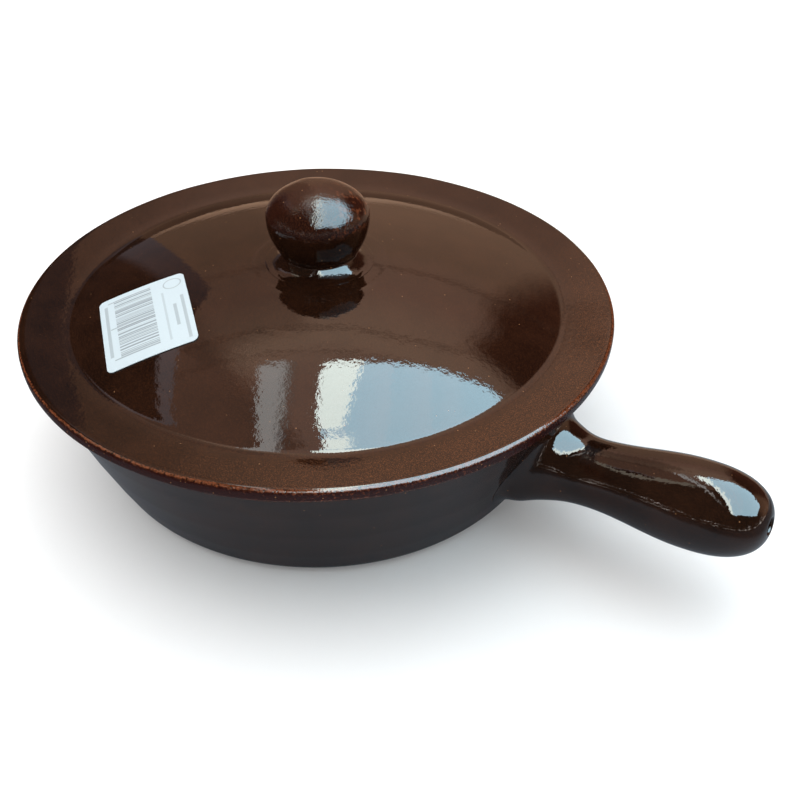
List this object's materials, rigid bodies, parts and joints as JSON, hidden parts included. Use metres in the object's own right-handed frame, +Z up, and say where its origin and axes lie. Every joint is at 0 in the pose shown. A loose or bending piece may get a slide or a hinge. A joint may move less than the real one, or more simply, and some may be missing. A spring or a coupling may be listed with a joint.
{
  "type": "lidded saucepan",
  "caption": "Round glazed stoneware saucepan with a flared, hollow side handle and a domed lift-off lid with a ball knob.",
  "frame": {"origin": "centre of the standing ring under the bowl, on the table plane", "axes": "+Z up along the bowl's axis, +X from that axis towards the handle"},
  "size_m": [0.367, 0.28, 0.1337],
  "materials": {
    "pan_glaze": "gloss dark brown glaze",
    "lid_glaze": "gloss brown glaze with fine golden speckle",
    "label_paper": "smooth coated paper"
  },
  "bodies": {
    "pan": {"pan_bowl": "pan_glaze", "pan_handle": "pan_glaze"},
    "lid": {"lid_plate": "lid_glaze", "lid_knob": "lid_glaze", "lid_label": "label_paper"}
  },
  "joints": [
    {"name": "lid_lift", "type": "slide", "parent": "pan", "child": "lid", "axis": [0, 0, 1], "range_m": [0, 0.2]}
  ]
}
